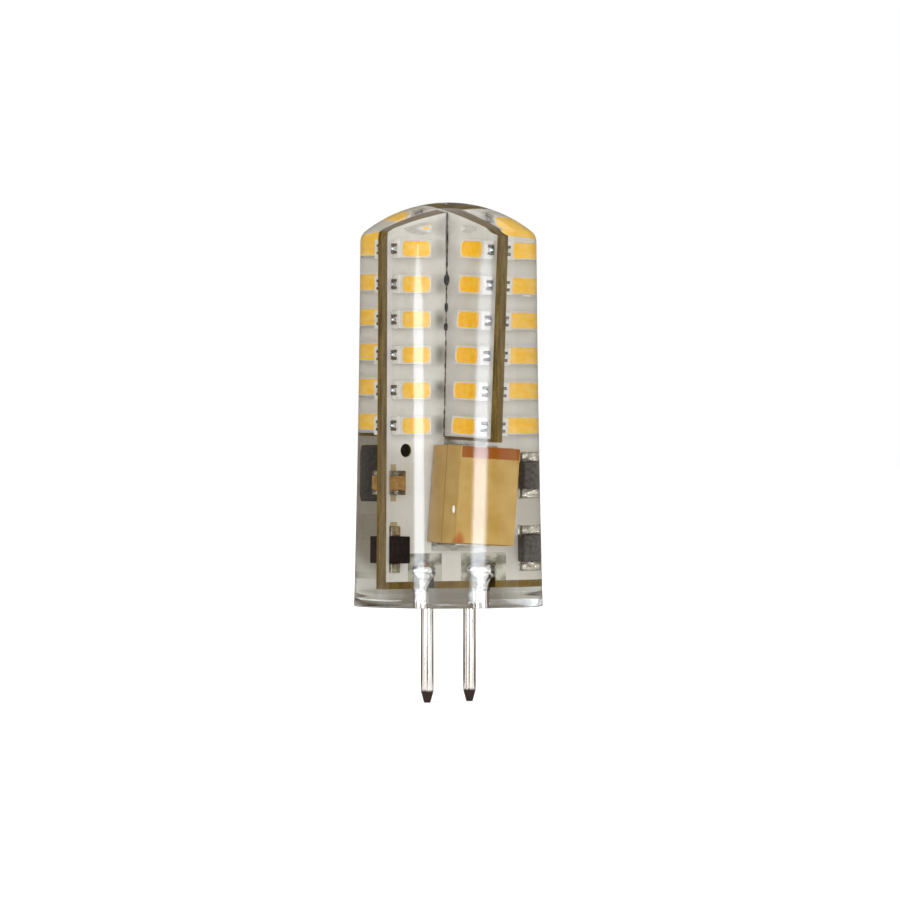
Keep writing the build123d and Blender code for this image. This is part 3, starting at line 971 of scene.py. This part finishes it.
for name, plan in STRIPS.items():
    constants = {"Base Color": BLACK, "Emission Strength": plan["radiance"]}
    glow_finish = Finish(name.replace("_", " "), constants)
    across, upright, _ = glow_finish.place()
    slanted = across + (upright - plan["slant_middle"]) * plan["slant"]
    pointed = glow_finish.ease(upright, *plan["tip"])
    core = 1 - glow_finish.ease(abs(slanted) + pointed * plan["core"][1], *plan["core"])
    core = core * (1 - glow_finish.ease(upright, *STRIP_FADE) * plan["fade"])
    skirt = 1 - glow_finish.ease(abs(slanted - plan["skirt_middle"]), *plan["skirt"])
    skirt = skirt * (1 - pointed)
    glow = core * (1 - plan["skirt_share"]) + skirt * plan["skirt_share"]
    for side in plan["rims"]:
        glow = glow + glow_finish.ease(across * side, *STRIP_RIM) / plan["radiance"]
    unscattered = glow_finish.node("ShaderNodeLightPath", None, None, "Diffuse Depth") < 0.5
    glow_finish.vary({"Emission Color": glow_finish.mix(glow * unscattered, BLACK, COOL_LIGHT)})
    strip_mesh = bmesh.new()
    bmesh.ops.create_grid(strip_mesh, x_segments=1, y_segments=1, size=0.5)
    bmesh.ops.scale(strip_mesh, vec=STRIP_SIZE, verts=strip_mesh.verts)
    strip = stage_card(name, strip_mesh, glow_finish)
    toward = bearing(radians(plan["angle"]))
    strip.location = toward * LAMP_DISTANCE + AIM + STRIP_RISE
    strip.rotation_euler = toward.to_track_quat("-Z", "Y").to_euler()

# Floor: a matt white sheet, under the tips of the pins, that keeps the bulb's soft shadow. A little glow of
# its own keeps it white where it is seen.
FLOOR_SIZE = 6.0
FLOOR_WHITE = (0.85, 0.85, 0.85, 1.0)
FLOOR_GLOW = 0.3
floor_height = cad_box[0][2]
floor_finish = Finish("white floor", {
    "Base Color": FLOOR_WHITE,
    "Roughness": 0.9,
    "Emission Strength": FLOOR_GLOW,
})
floor_finish.vary({"Emission Color": floor_finish.mix(in_sight(floor_finish), BLACK, WHITE)})
floor_mesh = bmesh.new()
bmesh.ops.create_grid(floor_mesh, x_segments=1, y_segments=1, size=FLOOR_SIZE / 2)
floor_data = bpy.data.meshes.new("floor")
floor_mesh.to_mesh(floor_data)
floor_mesh.free()
floor_data.materials.append(floor_finish.material)
floor = bpy.data.objects.new("floor", floor_data)
scene.collection.objects.link(floor)
floor.location.z = floor_height

# Cards: a grey card bent round the back, which shows through the clear edges of the silicone, and two
# brown ones, at the left and on the floor in front, that draw the dark lines on the plated pins. They
# show in gloss, the grey one through the silicone too, and shade nothing.
CARD_STEPS = 24
CARD_START = 0.012
CARD_GAP = 0.0002
BACKDROP_REACH = 0.12
BACKDROP_TOP = 0.12
BACKDROP_HALF_ANGLE = 86
LEFT_CARD_ANGLE = -66
LEFT_CARD_HALF_ANGLE = 12
LEFT_CARD_REACH = 0.6
LEFT_CARD_TOP = 0.3
APRON_ANGLE = 2
APRON_HALF_ANGLE = 9
APRON_REACH = 0.2
APRON_BROWN = paint(64, 50, 44)
MATT = {"Roughness": 1.0, "IOR": 1.0}


def bent_card(name, middle, half_angle, rows, finish):
    """A card bent round the bulb, through rows of (distance, height), that shows only in gloss."""
    mesh = bmesh.new()
    columns = []
    for step in range(CARD_STEPS + 1):
        direction = bearing(radians(middle + half_angle * (2 * step / CARD_STEPS - 1)))
        columns.append([mesh.verts.new(direction * away + Vector((0, 0, height))) for away, height in rows])
    for first, second in zip(columns, columns[1:]):
        for row in range(len(rows) - 1):
            mesh.faces.new((first[row], second[row], second[row + 1], first[row + 1]))
    card = stage_card(name, mesh, finish)
    card.visible_diffuse = False
    card.visible_transmission = False
    return card


backdrop_finish = Finish("backdrop card", MATT)
backdrop_place = backdrop_finish.place()
rightward = bearing(pi / 2)
sideways = abs(backdrop_place[0] * rightward.x + backdrop_place[1] * rightward.y)
low_down = 1 - backdrop_finish.ease(backdrop_place[2], -4.6, -2.6)
aside = backdrop_finish.ease(sideways, 25, 70) * low_down
card_grey = backdrop_finish.mix(aside, paint(105, 99, 87), paint(148, 146, 135))
above_floor = backdrop_finish.ease(backdrop_place[2], -7.0, -6.7)
backdrop_finish.vary({"Base Color": backdrop_finish.mix(above_floor, APRON_BROWN, card_grey)})
left_card_finish = Finish("left card", {"Base Color": paint(104, 76, 64), **MATT})
apron_finish = Finish("apron card", {"Base Color": APRON_BROWN, **MATT})

card_foot = floor_height + CARD_GAP
backdrop_rows = [
    (CARD_START, card_foot),
    (BACKDROP_REACH, card_foot),
    (BACKDROP_REACH, 0.0),
    (BACKDROP_REACH, BACKDROP_TOP),
]
left_card_rows = [(LEFT_CARD_REACH, floor_height), (LEFT_CARD_REACH, LEFT_CARD_TOP)]
apron_rows = [(CARD_START, card_foot), (APRON_REACH, card_foot)]
backdrop = bent_card("backdrop_card", 180, BACKDROP_HALF_ANGLE, backdrop_rows, backdrop_finish)
backdrop.visible_transmission = True
bent_card("left_card", LEFT_CARD_ANGLE, LEFT_CARD_HALF_ANGLE, left_card_rows, left_card_finish)
bent_card("front_apron", APRON_ANGLE, APRON_HALF_ANGLE, apron_rows, apron_finish)
